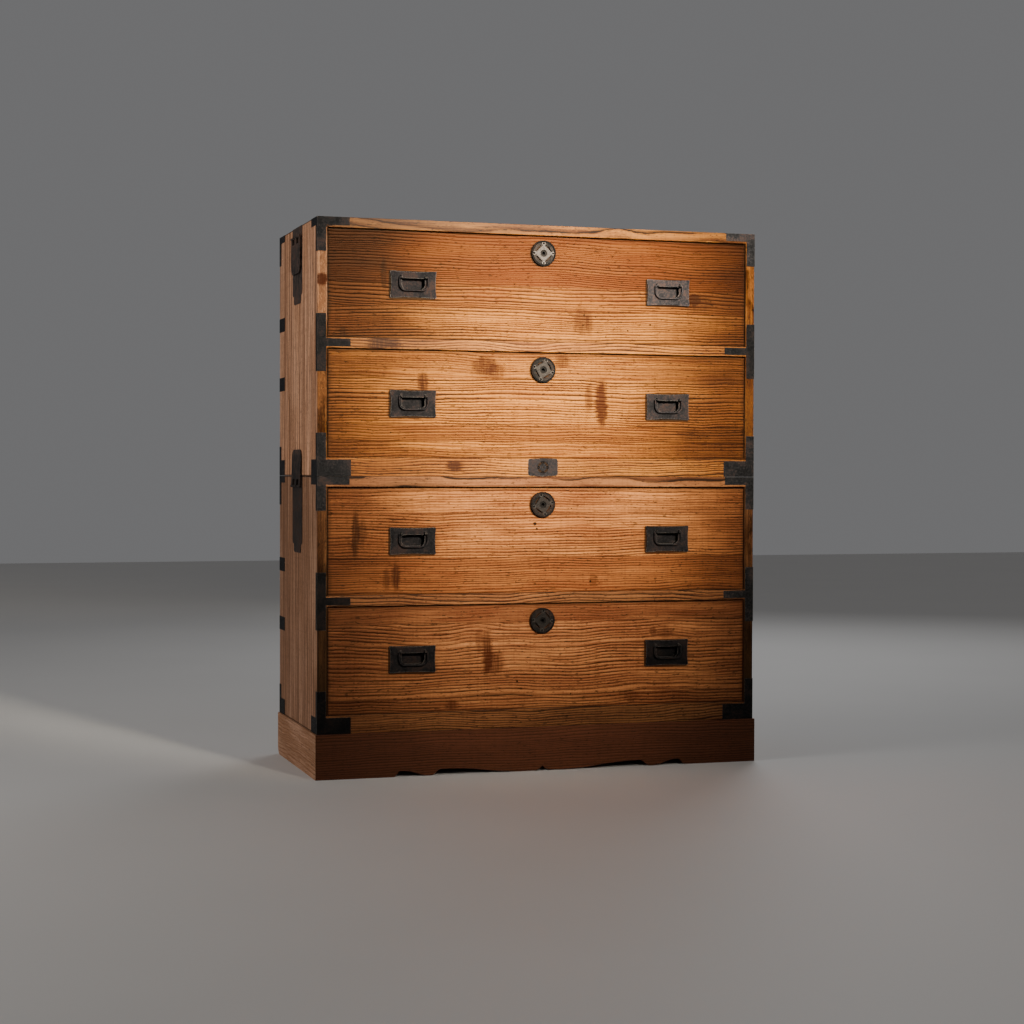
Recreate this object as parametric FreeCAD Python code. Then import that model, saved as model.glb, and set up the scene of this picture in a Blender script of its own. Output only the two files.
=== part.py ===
import FreeCAD, Part
import math
import os

from FreeCAD import Vector

# A stacked clothing chest: two cases of two drawers each, one standing on the other and both on a plinth.
# Millimetres. +X is right, +Y is the back, +Z is up. The origin is at floor level, midway in the cases.

# Cases
case_width = 909.0
case_depth = 379.0
side_board = 20.0
top_board = 20.0
mid_rail = 20.0
bottom_rail = 36.0
rail_depth = 45.0
drawer_opening = 210.0
floor_board = 12.0
dust_board = 10.0
back_board = 9.0
back_boards = 4
back_rabbet = 10.0
housing = 6.0
seam_gap = 0.6

# Plinth
plinth_height = 87.0
plinth_ledge = 4.0
plinth_board = 20.0
plinth_heel_radius = 18.0
corner_block = 28.0
corner_block_drop = 12.0
apron_lift = 0.8
outer_arch = (229.0, 290.0, 305.0, 11.5)
inner_arch = (30.0, 207.0, 229.0, 12.4)
notch_half = 14.0
notch_height = 10.0
notch_bend = (0.45, 0.4)

# Drawers
drawer_setback = 1.0
drawer_side_gap = 1.0
drawer_top_gap = 2.5
drawer_floor_gap = 0.5
drawer_back_gap = 5.0
front_board = 20.0
front_lap = 8.0
drawer_side = 11.0
drawer_side_drop = 3.0
drawer_back = 10.0
drawer_back_drop = 12.0
drawer_bottom = 8.0
bottom_groove = 5.0
bottom_lift = 6.0

# Recessed pulls
pull_spacing = 531.0
pull_width = 93.0
pull_height = 53.0
pull_waist = 2.2
pull_corner = 2.5
pull_plate = 2.0
cup_width = 46.0
cup_height = 22.0
cup_corner = 10.0
cup_upper_corner = 1.5
cup_depth = 12.0
cup_wall = 1.2
cup_top = 12.0
bail_span = 57.0
bail_drop = 26.0
bail_rod = 4.0
bail_corner = 12.0
bail_pivot_height = 14.0
bail_pivot_reach = 6.0
eye_width = 3.0
eye_wall = 1.6
eye_bevel = 2.0
rod_sides = 8
bail_clearance = 0.3
pin_clearance = 0.05

# Round locks
lock_drop = 35.0
lock_diameter = 50.0
lock_rim = 3.5
lock_proud = 4.0
face_thickness = 1.8
face_inset = 0.8
window_chord = 13.4
window_radius = 16.3
dish_diameter = 12.0
dish_depth = 1.2
keyhole = 6.0
keyhole_depth = 7.0
spindle = 11.0
spindle_clearance = 1.0
spindle_seat = 3.0
face_turns = (0.0, 16.0, -12.0, 4.0)
lock_body_width = 46.0
lock_body_drop = 20.0
lock_body_rise = 22.0
lock_body_depth = 11.0
lock_cover_border = 7.0
lock_cover = 1.5
bolt_width = 14.0
bolt_thickness = 4.0
bolt_length = 34.0
bolt_clearance = 0.4
bolt_sink = 0.3
bolt_throw = 8.0
bolt_wall = 2.0
strike_clearance = 1.5

# Ironwork on the cases
iron = 0.7
iron_strip = 17.0
iron_return = 12.0
side_tab = 55.0
top_arm = 63.0
top_arm_height = 16.0
top_strip = 66.0
tee_arm = 65.0
tee_arm_height = 15.0
tee_strip = 111.0
bottom_arm = 66.0
bottom_arm_height = 32.0
bottom_strip = 83.0
rear_strip = 60.0
rear_arm_height = 14.0
rear_tab_height = 28.0
rear_tab_heights = (189.0, 312.0)
rear_wrap = 35.0
rail_plate_width = 62.0
rail_plate_height = 34.0
rail_plate_corner = 5.0
roundel_ring = 9.5
roundel_slot = 4.0
roundel_slot_half_angle = 26.0
roundel_dot = 2.4

# Carrying handles
handle_plate_width = 94.0
handle_plate_height = 136.0
handle_foot_width = 68.0
handle_foot = 17.0
handle_plate = 1.2
handle_corner = 8.0
handle_top_corner = 1.0
handle_pivot_drop = 20.0
handle_pin = 2.6
handle_pin_clearance = 0.02
handle_barrel = 5.0
handle_strap = 2.2
handle_width = 88.0
handle_reach = 73.0
handle_end_corner = 17.0
handle_leg = 11.0
handle_neck = 13.0
window_height = 14.0
window_corner = 4.0
knuckle_width = 18.0
handle_gap = 0.3
raised_lean = 2.0

# Sizes that follow
case_height = top_board + 2 * drawer_opening + mid_rail + bottom_rail
half_width = case_width / 2
front_y = -case_depth / 2
back_y = case_depth / 2
opening_half = half_width - side_board
lower_base = plinth_height
upper_base = lower_base + case_height + seam_gap
board_half = opening_half + housing
drawer_face_y = front_y + drawer_setback
drawer_rear_y = back_y - back_board - drawer_back_gap
drawer_half = opening_half - drawer_side_gap
low_opening = bottom_rail
high_opening = bottom_rail + drawer_opening + mid_rail
touching = 0.01


def block(x, y, z):
    """A box from its low and high limits along X, Y and Z."""
    return Part.makeBox(x[1] - x[0], y[1] - y[0], z[1] - z[0], Vector(x[0], y[0], z[0]))


def cut_all(solid, tools):
    """The solid less each of the tools."""
    for tool in tools:
        solid = solid.cut(tool)
    return solid


def fuse_all(solids):
    """One solid made of several that share faces or overlap."""
    joined = solids[0]
    for solid in solids[1:]:
        joined = joined.fuse(solid)
    return joined.removeSplitter()


def mirrored_x(shape):
    """The shape's twin on the other side of the chest."""
    return shape.mirror(Vector(0, 0, 0), Vector(1, 0, 0))


def line(start, end):
    """A straight edge."""
    return Part.makeLine(Vector(*start), Vector(*end))


def ogee(start, end):
    """An S-shaped edge in the XZ plane, level at both of its ends."""
    middle = (start[0] + end[0]) / 2
    poles = [(start[0], start[1]), (middle, start[1]), (middle, end[1]), (end[0], end[1])]
    curve = Part.BezierCurve()
    curve.setPoles([Vector(x, 0, z) for x, z in poles])
    return curve.toShape()


def rounded_rectangle(x, z, low_radius, high_radius):
    """An upright face at y = 0 whose two lower and two upper corners have their own radii."""
    edges = []
    corners = [
        (x[0], z[0], low_radius, 180),
        (x[1], z[0], low_radius, 270),
        (x[1], z[1], high_radius, 0),
        (x[0], z[1], high_radius, 90),
    ]
    inward = {180: (1, 1), 270: (-1, 1), 0: (-1, -1), 90: (1, -1)}
    ends = []
    for corner_x, corner_z, radius, start_angle in corners:
        centre_x = corner_x + inward[start_angle][0] * radius
        centre_z = corner_z + inward[start_angle][1] * radius
        points = []
        for angle in (start_angle, start_angle + 45, start_angle + 90):
            turn = math.radians(angle)
            points.append(Vector(centre_x + radius * math.cos(turn), 0, centre_z + radius * math.sin(turn)))
        if radius:
            edges.append(Part.Arc(*points).toShape())
        ends.append((points[0], points[2]))
    for index in range(4):
        leave, arrive = ends[index][1], ends[(index + 1) % 4][0]
        if leave.distanceToPoint(arrive) > touching:
            edges.append(Part.makeLine(leave, arrive))
    return Part.Face(Part.Wire(Part.__sortEdges__(edges)))


def write(node, solids):
    """Write a node's solids to its own file."""
    shape = solids[0] if len(solids) == 1 else Part.makeCompound(solids)
    shape.exportStep("parts/" + node + ".step")


# Plinth


def apron_edges():
    """The shaped lower edge of the plinth's front, from the left foot to the right."""
    end = half_width + plinth_ledge
    inner_low, inner_peak, inner_cusp, inner_height = inner_arch
    outer_cusp, outer_peak, outer_foot, outer_height = outer_arch
    half = [
        [(end, 0), (outer_foot, 0)],
        [(outer_foot, 0), (outer_peak, outer_height)],
        [(outer_peak, outer_height), (outer_cusp, apron_lift)],
        [(inner_cusp, apron_lift), (inner_peak, inner_height)],
        [(inner_peak, inner_height), (inner_low, apron_lift)],
        [(inner_low, apron_lift), (notch_half, apron_lift)],
    ]
    bend_x = notch_half * notch_bend[0]
    bend_z = apron_lift + (notch_height - apron_lift) * notch_bend[1]
    edges = []
    for side in (1, -1):
        for start, finish in half:
            a, b = (side * start[0], start[1]), (side * finish[0], finish[1])
            if a[1] == b[1]:
                edges.append(line((a[0], 0, a[1]), (b[0], 0, b[1])))
            else:
                edges.append(ogee(a, b))
        foot = Vector(side * notch_half, 0, apron_lift)
        bend = Vector(side * bend_x, 0, bend_z)
        edges.append(Part.Arc(foot, bend, Vector(0, 0, notch_height)).toShape())
    return edges


def plinth_front():
    """The scalloped apron, mitred into the sides."""
    end = half_width + plinth_ledge
    low_y = front_y - plinth_ledge
    edges = apron_edges()
    edges.append(line((-end, 0, 0), (-end, 0, plinth_height)))
    edges.append(line((-end, 0, plinth_height), (end, 0, plinth_height)))
    edges.append(line((end, 0, plinth_height), (end, 0, 0)))
    face = Part.Face(Part.Wire(Part.__sortEdges__(edges)))
    face.translate(Vector(0, low_y, 0))
    board = face.extrude(Vector(0, plinth_board, 0))
    plan = [
        (-end, low_y),
        (end, low_y),
        (end - plinth_board, low_y + plinth_board),
        (plinth_board - end, low_y + plinth_board),
    ]
    return board.common(upright(plan))


def upright(plan):
    """A prism as high as the plinth over a plan outline."""
    points = [Vector(x, y, 0) for x, y in plan + plan[:1]]
    return Part.Face(Part.makePolygon(points)).extrude(Vector(0, 0, plinth_height))


def plinth_side():
    """The left board: mitred in front, its lower rear corner rounded."""
    end = half_width + plinth_ledge
    low_y = front_y - plinth_ledge
    plan = [
        (-end, low_y),
        (plinth_board - end, low_y + plinth_board),
        (plinth_board - end, back_y),
        (-end, back_y),
    ]
    board = upright(plan)
    for edge in board.Edges:
        middle = edge.CenterOfMass
        if abs(middle.y - back_y) < touching and abs(middle.z) < touching:
            return board.makeFillet(plinth_heel_radius, [edge])
    raise ValueError("the side board has no lower rear edge")


def plinth_back():
    """The plain rear board between the sides."""
    reach = half_width + plinth_ledge - plinth_board
    return block((-reach, reach), (back_y - plinth_board, back_y), (0, plinth_height))


def plinth_blocks():
    """Glue blocks in the four inner corners, clear of the floor."""
    inner_x = half_width + plinth_ledge - plinth_board
    inner_front = front_y - plinth_ledge + plinth_board
    inner_back = back_y - plinth_board
    heights = (corner_block_drop, plinth_height)
    blocks = []
    for x in ((-inner_x, corner_block - inner_x), (inner_x - corner_block, inner_x)):
        for y in ((inner_front, inner_front + corner_block), (inner_back - corner_block, inner_back)):
            blocks.append(block(x, y, heights))
    return blocks


# Cases


def rail(base, low, height):
    """A front rail let into both sides."""
    z = (base + low, base + low + height)
    return block((-board_half, board_half), (front_y, front_y + rail_depth), z)


def shelf(base, top, thickness, front=front_y + rail_depth):
    """A board let into both sides that ends at the back boards."""
    z = (base + top - thickness, base + top)
    return block((-board_half, board_half), (front, back_y - back_board), z)


def back_panel(base):
    """Upright boards side by side in the rabbets of the sides."""
    reach = opening_half + back_rabbet
    width = 2 * reach / back_boards
    boards = []
    for index in range(back_boards):
        low = -reach + index * width
        boards.append(block((low, low + width), (back_y - back_board, back_y), (base, base + case_height)))
    return boards


def strike(base, opening):
    """The mortise above a drawer that its bolt rises into."""
    half = bolt_width / 2 + bolt_clearance
    depth = bolt_throw - bolt_sink - drawer_top_gap + strike_clearance
    low = base + opening + drawer_opening
    return block((-half, half), bolt_y(bolt_clearance), (low, low + depth))


def case_boards(base):
    """The boards of one case by the last part of their nodes' names."""
    top = shelf(base, case_height, top_board, front_y)
    low_rail = rail(base, 0, bottom_rail)
    high_rail = rail(base, high_opening - mid_rail, mid_rail)
    floor = shelf(base, low_opening, floor_board)
    dust = shelf(base, high_opening, dust_board)
    back = back_panel(base)
    side = block((-half_width, -opening_half), (front_y, back_y), (base, base + case_height))
    side = cut_all(side, [top, low_rail, high_rail, floor, dust, back[0]])
    return {
        "side_left": [side],
        "side_right": [mirrored_x(side)],
        "top": [top.cut(strike(base, high_opening))],
        "rails": [low_rail, high_rail.cut(strike(base, low_opening))],
        "floor": [floor],
        "dust_board": [dust],
        "back": back,
    }


# Drawers


def bolt_y(clearance=0.0):
    """Where the bolt lies in the thickness of the drawer's front, with a clearance each way."""
    middle = drawer_face_y + front_board - bolt_wall - bolt_thickness / 2 - bolt_clearance
    reach = bolt_thickness / 2 + clearance
    return (middle - reach, middle + reach)


def lock_bodies(lock_z, top_z):
    """The lock's box in its mortise, its cover behind, and the space the bolt slides in."""
    rear_y = drawer_face_y + front_board
    half = lock_body_width / 2
    box = block(
        (-half, half),
        (rear_y - lock_body_depth, rear_y),
        (lock_z - lock_body_drop, lock_z + lock_body_rise),
    )
    wide = half + lock_cover_border
    cover = block(
        (-wide, wide),
        (rear_y, rear_y + lock_cover),
        (lock_z - lock_body_drop - lock_cover_border, lock_z + lock_body_rise),
    )
    slot_half = bolt_width / 2 + bolt_clearance
    low = top_z - bolt_sink - bolt_length - bolt_clearance
    channel = block((-slot_half, slot_half), bolt_y(bolt_clearance), (low, top_z))
    return box, cover, channel


def cup_face(grow):
    """The outline of the finger cup: square above and rounded below, grown outward by its wall."""
    half = cup_width / 2 + grow
    height = (cup_top - cup_height - grow, cup_top + grow)
    return rounded_rectangle((-half, half), height, cup_corner + grow, cup_upper_corner + grow)


def cup_block(grow, depth, place):
    """A prism of the cup's outline, sunk into the front from its face."""
    face = cup_face(grow)
    face.translate(Vector(place[0], drawer_face_y, place[1]))
    return face.extrude(Vector(0, depth, 0))


def drawer_wood(base, opening):
    """A drawer's front and its box of sides, back and bottom."""
    low_z = base + opening + drawer_floor_gap
    top_z = base + opening + drawer_opening - drawer_top_gap
    side_top = top_z - drawer_side_drop
    inner = drawer_half - drawer_side
    front_inner_y = drawer_face_y + front_board
    front = block((-drawer_half, drawer_half), (drawer_face_y, front_inner_y), (low_z, top_z))
    side = block((-drawer_half, -inner), (drawer_face_y + front_lap, drawer_rear_y), (low_z, side_top))
    bottom_z = (low_z + bottom_lift, low_z + bottom_lift + drawer_bottom)
    reach = inner + bottom_groove
    bottom = block((-reach, reach), (front_inner_y - bottom_groove, drawer_rear_y), bottom_z)
    back_z = (bottom_z[1], side_top - drawer_back_drop)
    back = block((-inner, inner), (drawer_rear_y - drawer_back, drawer_rear_y), back_z)
    lock_z = lock_height(base, opening)
    box, cover, channel = lock_bodies(lock_z, top_z)
    hole = bore_y((drawer_face_y, front_inner_y), (0, lock_z), spindle / 2 + spindle_clearance)
    pockets = [cup_block(cup_wall, cup_depth, place) for place in pull_places(base, opening)]
    front = cut_all(front, [side, mirrored_x(side), bottom, box, channel, hole] + pockets)
    side = side.cut(bottom)
    return front, [side, mirrored_x(side), back, bottom]


def bore_y(reach, place, radius):
    """A round bar along Y between two depths."""
    start = Vector(place[0], reach[0], place[1])
    return Part.makeCylinder(radius, reach[1] - reach[0], start, Vector(0, 1, 0))


def lock_height(base, opening):
    """The height of a drawer's lock."""
    return base + opening + drawer_opening - lock_drop


def pull_places(base, opening):
    """The middles of a drawer's two pulls, as X and Z."""
    height = base + opening + drawer_opening / 2
    return [(-pull_spacing / 2, height), (pull_spacing / 2, height)]


def waisted_plate():
    """The pull's plate about its own middle, each edge bowed inward, its back at y = 0."""
    x, z = pull_width / 2, pull_height / 2
    corners = [(-x, -z), (x, -z), (x, z), (-x, z)]
    middles = [(0, pull_waist - z), (x - pull_waist, 0), (0, z - pull_waist), (pull_waist - x, 0)]
    edges = []
    for index in range(4):
        start, middle, end = corners[index], middles[index], corners[(index + 1) % 4]
        edges.append(Part.Arc(*[Vector(a, 0, b) for a, b in (start, middle, end)]).toShape())
    plate = Part.Face(Part.Wire(edges)).extrude(Vector(0, -pull_plate, 0))
    corner_edges = []
    for edge in plate.Edges:
        middle = edge.CenterOfMass
        if abs(abs(middle.x) - x) < touching and abs(abs(middle.z) - z) < touching:
            corner_edges.append(edge)
    return plate.makeFillet(pull_corner, corner_edges)


def bail_axis_y():
    """How far the bail's pivot lies in front of the drawer's face, as a Y place."""
    return drawer_face_y - pull_plate - bail_clearance - bail_rod / 2


def pull_plate_solid(place):
    """A plate with its finger cup behind and the two eyes that carry the bail."""
    plate = waisted_plate()
    plate.translate(Vector(place[0], drawer_face_y, place[1]))
    pieces = [plate, cup_block(cup_wall, cup_depth, place)]
    pivot_z = place[1] + bail_pivot_height
    eye_radius = bail_rod / 2 + pin_clearance + eye_wall
    for side in (-1, 1):
        middle = place[0] + side * (bail_span / 2 - bail_rod / 2 - bail_clearance - eye_width / 2)
        eye = block(
            (middle - eye_width / 2, middle + eye_width / 2),
            (bail_axis_y() - eye_radius, drawer_face_y),
            (pivot_z - eye_radius, pivot_z + eye_radius),
        )
        bevelled = []
        for edge in eye.Edges:
            place_y, place_x = edge.CenterOfMass.y, edge.CenterOfMass.x
            if place_y < bail_axis_y() - eye_radius + touching and abs(place_x - middle) < touching:
                bevelled.append(edge)
        pieces.append(eye.makeChamfer(eye_bevel, bevelled))
    solid = fuse_all(pieces)
    reach = bail_span / 2
    pin = Part.makeCylinder(
        bail_rod / 2 + pin_clearance,
        2 * reach,
        Vector(place[0] - reach, bail_axis_y(), pivot_z),
        Vector(1, 0, 0),
    )
    hollow = cup_face(0)
    hollow.translate(Vector(place[0], drawer_face_y - pull_plate, place[1]))
    hollow = hollow.extrude(Vector(0, pull_plate + cup_depth - cup_wall, 0))
    return solid.cut(pin).cut(hollow)


def rod_section(place, direction):
    """The forged rod's eight-sided section, a flat towards the drawer, square to a direction."""
    across = Vector(0, 1, 0)
    sideways = direction.cross(across)
    half_side = math.pi / rod_sides
    radius = bail_rod / 2 / math.cos(half_side)
    points = []
    for index in range(rod_sides + 1):
        turn = half_side + 2 * half_side * index
        points.append(place + across * (radius * math.cos(turn)) + sideways * (radius * math.sin(turn)))
    return Part.Face(Part.makePolygon(points))


def rod(start, end):
    """A straight stretch of the bail."""
    run = end - start
    return rod_section(start, Vector(run).normalize()).extrude(run)


def rod_bend(start, direction, centre):
    """A quarter turn of the bail about a centre, leaving a place in a direction."""
    turn = (start - centre).cross(direction)
    return rod_section(start, direction).revolve(centre, turn, 90)


def bail(place):
    """The swinging bail: a forged rod bent to a U, its round ends turned in through the eyes."""
    half = bail_span / 2
    top = bail_pivot_height
    low = top - bail_drop
    corner = bail_corner

    def point(x, z):
        return Vector(place[0] + x, bail_axis_y(), place[1] + z)

    pieces = [rod(point(corner - half, low), point(half - corner, low))]
    for side in (1, -1):
        out = Vector(side, 0, 0)
        lower = point(side * (half - corner), low)
        leg = point(side * half, low + corner)
        pivot = point(side * half, top)
        pieces.append(rod_bend(lower, out, lower + Vector(0, 0, corner)))
        pieces.append(rod(leg, pivot))
        outer_end = pivot + out * (bail_rod / 2)
        pieces.append(Part.makeCylinder(bail_rod / 2, bail_pivot_reach + bail_rod / 2, outer_end, -out))
    return fuse_all(pieces)


# Locks


def rim_ring(lock_z):
    """The raised ring on the drawer's face that the lock's face turns in."""
    reach = (drawer_face_y - lock_proud, drawer_face_y)
    ring = bore_y(reach, (0, lock_z), lock_diameter / 2)
    return ring.cut(bore_y(reach, (0, lock_z), lock_diameter / 2 - lock_rim))


def lock_case(base, opening):
    """The lock's rim, its box in the wood and the cover behind the front."""
    lock_z = lock_height(base, opening)
    top_z = base + opening + drawer_opening - drawer_top_gap
    box, cover, channel = lock_bodies(lock_z, top_z)
    rear_y = drawer_face_y + front_board
    seat_y = rear_y - lock_body_depth
    seat = bore_y((seat_y, seat_y + spindle_seat), (0, lock_z), spindle / 2 + pin_clearance)
    return [rim_ring(lock_z), box.cut(channel).cut(seat).fuse(cover).removeSplitter()]


def lock_face(base, opening, turn):
    """The pierced face: a square in a ring, with a dished keyhole and the spindle behind it."""
    lock_z = lock_height(base, opening)
    front = drawer_face_y - lock_proud + face_inset
    rear = front + face_thickness
    middle = (0, lock_z)
    radius = lock_diameter / 2 - lock_rim - pin_clearance
    disc = bore_y((front, rear), middle, radius)
    spindle_end = drawer_face_y + front_board - lock_body_depth + spindle_seat - bail_clearance
    solid = disc.fuse(bore_y((rear, spindle_end), middle, spindle / 2)).removeSplitter()
    window_disc = bore_y((front, rear), middle, window_radius)
    beyond = block((window_chord, radius), (front, rear), (lock_z - radius, lock_z + radius))
    segment = window_disc.common(beyond)
    axis = Vector(0, 1, 0)
    centre = Vector(0, 0, lock_z)
    for quarter in range(4):
        window = segment.copy()
        window.rotate(centre, axis, 45 + 90 * quarter + turn)
        solid = solid.cut(window)
    dish = bore_y((front, front + dish_depth), middle, dish_diameter / 2)
    well = bore_y((front, front + keyhole_depth), middle, keyhole / 2)
    return solid.cut(dish).cut(well)


def bolt(base, opening):
    """The square bolt, drawn down just under the drawer's upper edge."""
    top = base + opening + drawer_opening - drawer_top_gap - bolt_sink
    return block((-bolt_width / 2, bolt_width / 2), bolt_y(), (top - bolt_length, top))


# Ironwork


def bent_iron(face_arms, side_arms, base):
    """A plate bent round the left front edge. Arms are (reach from the edge, low, high)."""
    pieces = []
    for reach, low, high in face_arms:
        x = (-half_width - iron, -half_width + reach)
        pieces.append(block(x, (front_y - iron, front_y), (base + low, base + high)))
    for reach, low, high in side_arms:
        y = (front_y - iron, front_y + reach)
        pieces.append(block((-half_width - iron, -half_width), y, (base + low, base + high)))
    return fuse_all(pieces)


def case_irons(base):
    """Every corner iron of a case, front and rear, left and right."""
    height = case_height
    top_low, top_arm_low = height - top_strip, height - top_arm_height
    tee_middle = high_opening - mid_rail / 2
    tee_low, tee_high = tee_middle - tee_strip / 2, tee_middle + tee_strip / 2
    front = [
        bent_iron(
            [(iron_strip, top_low, height), (top_arm, top_arm_low, height)],
            [(iron_return, top_low, height), (side_tab, top_arm_low, height)],
            base,
        ),
        bent_iron(
            [
                (iron_strip, tee_low, tee_high),
                (tee_arm, tee_middle - tee_arm_height / 2, tee_middle + tee_arm_height / 2),
            ],
            [(iron_return, tee_low, tee_high)],
            base,
        ),
        bent_iron(
            [(iron_strip, 0, bottom_strip), (bottom_arm, 0, bottom_arm_height)],
            [(iron_return, 0, bottom_strip), (side_tab, 0, bottom_arm_height)],
            base,
        ),
    ]
    rear_low, rear_arm_low = height - rear_strip, height - rear_arm_height
    rear = [
        bent_iron(
            [(iron_strip, rear_low, height), (side_tab, rear_arm_low, height)],
            [(iron_strip, rear_low, height), (side_tab, rear_arm_low, height)],
            base,
        ),
        bent_iron(
            [(iron_strip, 0, rear_strip), (side_tab, 0, bottom_arm_height)],
            [(iron_strip, 0, rear_strip), (side_tab, 0, bottom_arm_height)],
            base,
        ),
    ]
    for middle in rear_tab_heights:
        limits = (middle - rear_tab_height / 2, middle + rear_tab_height / 2)
        rear.append(bent_iron([(rear_wrap, *limits)], [(side_tab, *limits)], base))
    left = front + [piece.mirror(Vector(0, 0, 0), Vector(0, 1, 0)) for piece in rear]
    return left + [mirrored_x(piece) for piece in left]


def rail_plate(base):
    """The plate in the middle of the upper case's bottom rail, pierced with a roundel."""
    half = rail_plate_width / 2
    low = (bottom_rail - rail_plate_height) / 2
    height = (base + low, base + low + rail_plate_height)
    face = rounded_rectangle((-half, half), height, rail_plate_corner, rail_plate_corner)
    face.translate(Vector(0, front_y, 0))
    plate = face.extrude(Vector(0, -iron, 0))
    centre = Vector(0, front_y, base + bottom_rail / 2)
    reach = (front_y - iron, front_y)
    middle = (0, centre.z)
    ring = bore_y(reach, middle, roundel_ring + roundel_slot / 2)
    ring = ring.cut(bore_y(reach, middle, roundel_ring - roundel_slot / 2))
    spread = half * math.tan(math.radians(roundel_slot_half_angle))
    wedge_points = [(0, 0), (half, -spread), (half, spread), (0, 0)]
    wedge = Part.Face(Part.makePolygon([Vector(x, reach[0], centre.z + z) for x, z in wedge_points]))
    slot = ring.common(wedge.extrude(Vector(0, iron, 0)))
    dot = bore_y(reach, (roundel_ring, centre.z), roundel_dot / 2)
    for quarter in range(4):
        window = slot.copy()
        window.rotate(centre, Vector(0, 1, 0), 45 + 90 * quarter)
        hole = dot.copy()
        hole.rotate(centre, Vector(0, 1, 0), 90 * quarter)
        plate = plate.cut(window).cut(hole)
    return plate.cut(bore_y(reach, middle, roundel_dot / 2))


# Carrying handles


def handle_axis_x():
    """How far out from a case's side the handle's pin lies."""
    return handle_plate + handle_gap + handle_barrel / 2


def side_profile(face):
    """A face drawn at y = 0 turned into the left side's plane, its X along the chest's depth."""
    face.rotate(Vector(0, 0, 0), Vector(0, 0, 1), 90)
    face.translate(Vector(-half_width, 0, 0))
    return face


def handle_mount(base):
    """The fixed plate with its two knuckles, and the pin through them."""
    top = base + case_height
    shoulder = top - handle_plate_height
    half = handle_plate_width / 2
    foot_half = handle_foot_width / 2
    body = side_profile(rounded_rectangle((-half, half), (shoulder, top), handle_corner, handle_top_corner))
    foot_low = shoulder - handle_foot
    foot_top = shoulder + handle_corner
    foot = side_profile(rounded_rectangle((-foot_half, foot_half), (foot_low, foot_top), handle_corner, 0))
    outward = Vector(-handle_plate, 0, 0)
    pieces = [body.extrude(outward), foot.extrude(outward)]
    pivot = Vector(-half_width - handle_axis_x(), 0, top - handle_pivot_drop)
    outer = handle_width / 2 - handle_leg - handle_gap
    for side in (-1, 1):
        low_y = min(side * outer, side * (outer - knuckle_width))
        start = Vector(pivot.x, low_y, pivot.z)
        pieces.append(Part.makeCylinder(handle_barrel / 2, knuckle_width, start, Vector(0, 1, 0)))
        pieces.append(
            block(
                (pivot.x, -half_width),
                (low_y, low_y + knuckle_width),
                (pivot.z - handle_barrel / 2, pivot.z + handle_barrel / 2),
            )
        )
    plate = fuse_all(pieces)
    start = Vector(pivot.x, -handle_width / 2, pivot.z)
    hole = Part.makeCylinder(handle_pin / 2 + handle_pin_clearance, handle_width, start, Vector(0, 1, 0))
    pin = Part.makeCylinder(handle_pin / 2, handle_width, start, Vector(0, 1, 0))
    return [plate.cut(hole), pin]


def carry_handle(base, raised):
    """The left handle of a case: a strap with two windows, whose three legs turn on the pin."""
    half = handle_width / 2
    body = side_profile(rounded_rectangle((-half, half), (0, handle_reach), 0, handle_end_corner))
    strap = body.extrude(Vector(handle_strap, 0, 0))
    strap.translate(Vector(half_width - handle_strap / 2, 0, 0))
    low_y, high_y = handle_neck / 2, half - handle_leg
    for side in (-1, 1):
        limits = sorted((side * low_y, side * high_y))
        window = side_profile(rounded_rectangle(limits, (-handle_barrel, window_height), 0, window_corner))
        window.translate(Vector(half_width - handle_barrel, 0, 0))
        strap = strap.cut(window.extrude(Vector(2 * handle_barrel, 0, 0)))
    pieces = [strap]
    for start, width in ((-half, handle_leg), (-low_y, handle_neck), (high_y, handle_leg)):
        pieces.append(Part.makeCylinder(handle_barrel / 2, width, Vector(0, start, 0), Vector(0, 1, 0)))
    strap = fuse_all(pieces)
    hole_radius = handle_pin / 2 + pin_clearance
    strap = strap.cut(Part.makeCylinder(hole_radius, handle_width, Vector(0, -half, 0), Vector(0, 1, 0)))
    turn = raised_lean if raised else 180
    strap.rotate(Vector(0, 0, 0), Vector(0, 1, 0), turn)
    strap.translate(Vector(-half_width - handle_axis_x(), 0, base + case_height - handle_pivot_drop))
    return strap


# The chest

write("plinth_front", [plinth_front()])
write("plinth_back", [plinth_back()])
write("plinth_sides", [plinth_side(), mirrored_x(plinth_side())])
write("plinth_blocks", plinth_blocks())

for case, base, raised in (("lower", lower_base, True), ("upper", upper_base, False)):
    for board, solids in case_boards(base).items():
        write(case + "_case_" + board, solids)
    write(case + "_case_irons", case_irons(base))
    mount = handle_mount(base)
    write(case + "_handle_plates", mount + [mirrored_x(piece) for piece in mount])
    handle = carry_handle(base, raised)
    write(case + "_handle_left", [handle])
    write(case + "_handle_right", [mirrored_x(handle)])
write("upper_case_rail_plate", [rail_plate(upper_base)])

drawers = [
    (upper_base, high_opening),
    (upper_base, low_opening),
    (lower_base, high_opening),
    (lower_base, low_opening),
]
for number, (base, opening) in enumerate(drawers, 1):
    name = "drawer_%d_" % number
    front, box = drawer_wood(base, opening)
    write(name + "front", [front])
    write(name + "box", box)
    places = pull_places(base, opening)
    write(name + "pull_plates", [pull_plate_solid(place) for place in places])
    write(name + "bail_left", [bail(places[0])])
    write(name + "bail_right", [bail(places[1])])
    write(name + "lock_case", lock_case(base, opening))
    write(name + "lock_face", [lock_face(base, opening, face_turns[number - 1])])
    write(name + "bolt", [bolt(base, opening)])
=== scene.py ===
import math
import random

import bpy
import bmesh
from bpy.props import FloatProperty, FloatVectorProperty, PointerProperty
from mathutils import Matrix, Vector


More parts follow.
